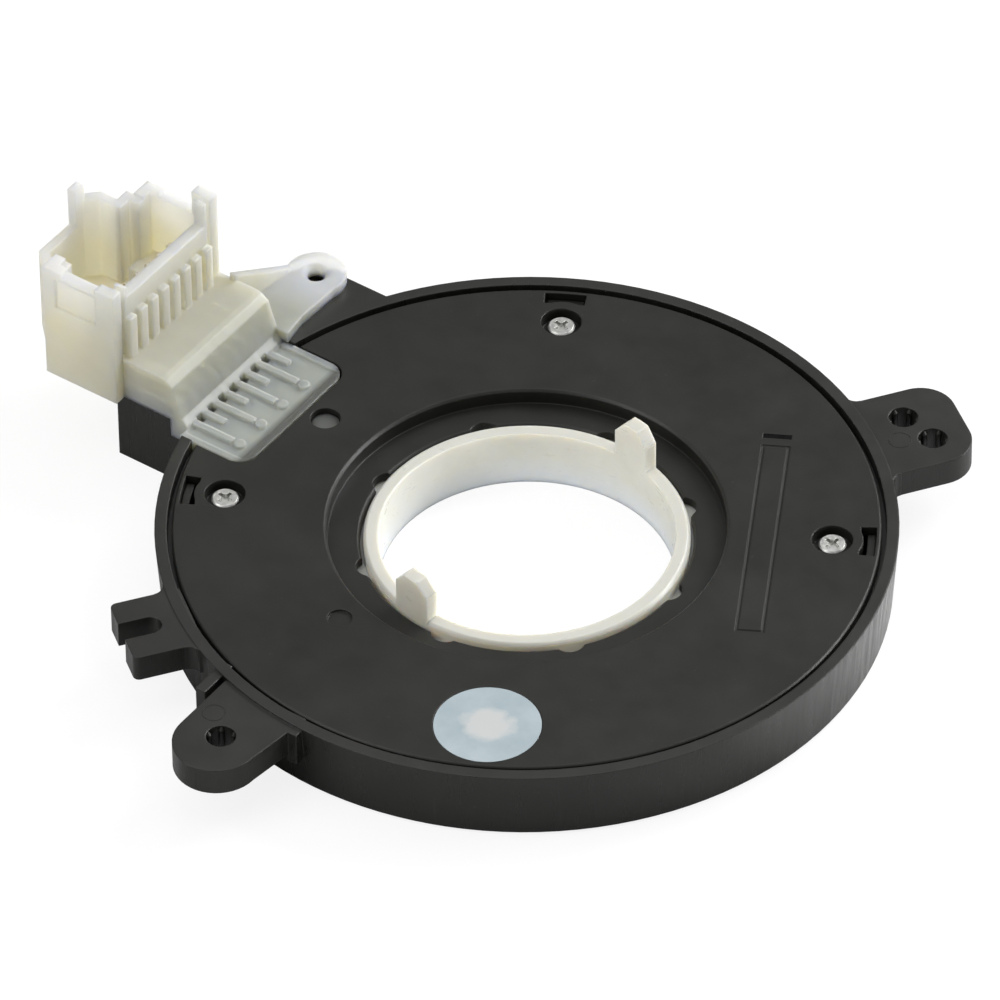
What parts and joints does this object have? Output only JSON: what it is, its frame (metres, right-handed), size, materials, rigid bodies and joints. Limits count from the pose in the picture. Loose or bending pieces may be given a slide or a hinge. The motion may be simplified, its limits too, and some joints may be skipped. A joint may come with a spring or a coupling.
{
  "type": "steering angle sensor",
  "caption": "Ring-shaped steering angle sensor with a white rotor, black housing, mounting ears and an upright plug socket.",
  "frame": {"origin": "on the axis of the rotor's bore, in the plane of the underside", "axes": "+Z along the rotor axis out of the cover, -X towards the connector, +Y along its row of terminals"},
  "size_m": [0.1149, 0.1058, 0.0285],
  "materials": {
    "black_nylon": "satin, glass filled",
    "white_acetal": "satin",
    "natural_acetal": "satin",
    "magnet": "ground",
    "board": "solder mask",
    "package": "moulded",
    "can": "plain",
    "capacitor": "ceramic",
    "natural_nylon": "translucent, as moulded",
    "terminal": "tin plated",
    "zinc_screw": "zinc plated",
    "film": "pale translucent film"
  },
  "bodies": {
    "base": {"housing": "black_nylon", "cover": "black_nylon", "circuit_board": "board", "angle_sensor_a": "package", "angle_sensor_b": "package", "microcontroller": "package", "bus_transceiver": "package", "voltage_regulator": "package", "resonator": "can", "capacitor_1": "capacitor", "capacitor_2": "capacitor", "capacitor_3": "capacitor", "capacitor_4": "capacitor", "connector_housing": "natural_nylon", "terminal_1": "terminal", "terminal_2": "terminal", "terminal_3": "terminal", "terminal_4": "terminal", "terminal_5": "terminal", "terminal_6": "terminal", "terminal_7": "terminal", "terminal_8": "terminal", "cover_screw_1": "zinc_screw", "cover_screw_2": "zinc_screw", "cover_screw_3": "zinc_screw", "vent_film": "film"},
    "rotor": {"hub_rotor": "white_acetal"},
    "gear_a": {"measuring_gear_a": "natural_acetal", "magnet_a": "magnet"},
    "gear_b": {"measuring_gear_b": "natural_acetal", "magnet_b": "magnet"}
  },
  "joints": [
    {"name": "rotor_spin", "type": "hinge", "parent": "base", "child": "rotor", "pos_m": [0, 0, 0], "axis": [0, 0, 1], "continuous": true},
    {"name": "gear_a_spin", "type": "hinge", "parent": "base", "child": "gear_a", "pos_m": [-0.02646, 0.01653, 0.003], "axis": [0, 0, 1], "continuous": true},
    {"name": "gear_b_spin", "type": "hinge", "parent": "base", "child": "gear_b", "pos_m": [-0.03158, -0.0011, 0.003], "axis": [0, 0, 1], "continuous": true}
  ],
  "couplings": [
    {"joint": "gear_a_spin", "follows": "rotor_spin", "ratio": -3.875},
    {"joint": "gear_b_spin", "follows": "rotor_spin", "ratio": -3.6471}
  ]
}
